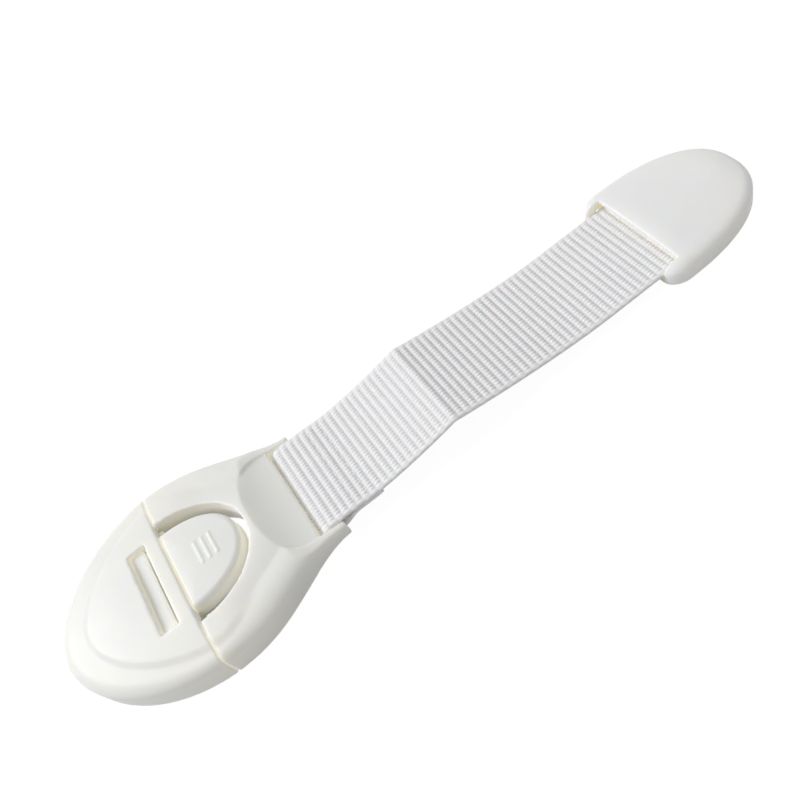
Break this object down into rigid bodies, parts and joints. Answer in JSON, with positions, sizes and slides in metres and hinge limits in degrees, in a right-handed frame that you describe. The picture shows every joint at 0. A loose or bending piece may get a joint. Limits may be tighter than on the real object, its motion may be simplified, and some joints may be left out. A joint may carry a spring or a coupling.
{
  "type": "child safety lock",
  "caption": "Strap-type child safety lock: an adhesive anchor with a press button, a latching teardrop buckle, a webbing strap and an adhesive end cap.",
  "frame": {"origin": "middle of the adhesive face under the anchor, on the surface it is stuck to", "axes": "+X along the strap towards the end cap, +Z away from the surface, +Y across the strap"},
  "size_m": [0.1802, 0.0456, 0.0097],
  "materials": {
    "abs_white": "satin moulded",
    "acetal": "smooth moulded",
    "spring_steel": "drawn",
    "foam_tape": "closed-cell foam",
    "webbing": "ribbed weave"
  },
  "bodies": {
    "anchor": {"anchor_base": "abs_white", "nose_cover": "abs_white", "anchor_foam_pad": "foam_tape", "button_pivot_pin": "spring_steel", "button_return_spring": "spring_steel"},
    "button": {"release_button": "abs_white"},
    "buckle": {"buckle_shell": "abs_white", "buckle_base_plate": "abs_white", "latch_arm_left": "acetal", "latch_arm_right": "acetal"},
    "webbing": {"webbing_strap": "webbing"},
    "end_cap": {"cap_cover": "abs_white", "cap_base": "abs_white", "cap_foam_pad": "foam_tape"}
  },
  "joints": [
    {"name": "button_press", "type": "hinge", "parent": "anchor", "child": "button", "pos_m": [-0.003, 0, 0.0046], "axis": [0, 1, 0], "range_deg": [0, 5], "stiffness_Nm_per_rad": 0.12, "springref_deg": -20.05, "deforming": ["button_return_spring", "latch_arm_left", "latch_arm_right"]},
    {"name": "buckle_slide", "type": "slide", "parent": "anchor", "child": "buckle", "axis": [1, 0, 0], "range_m": [0, 0.04], "deforming": ["latch_arm_left", "latch_arm_right"]},
    {"name": "strap_swing", "type": "hinge", "parent": "buckle", "child": "webbing", "pos_m": [0.0439, 0, 0.0051], "axis": [0, 1, 0], "range_deg": [-90, 90], "deforming": ["webbing_strap"]},
    {"name": "strap_fold", "type": "hinge", "parent": "webbing", "child": "end_cap", "pos_m": [0.074, 0, 0.0082], "axis": [0, 1, 0], "range_deg": [-90, 90], "deforming": ["webbing_strap"]}
  ]
}
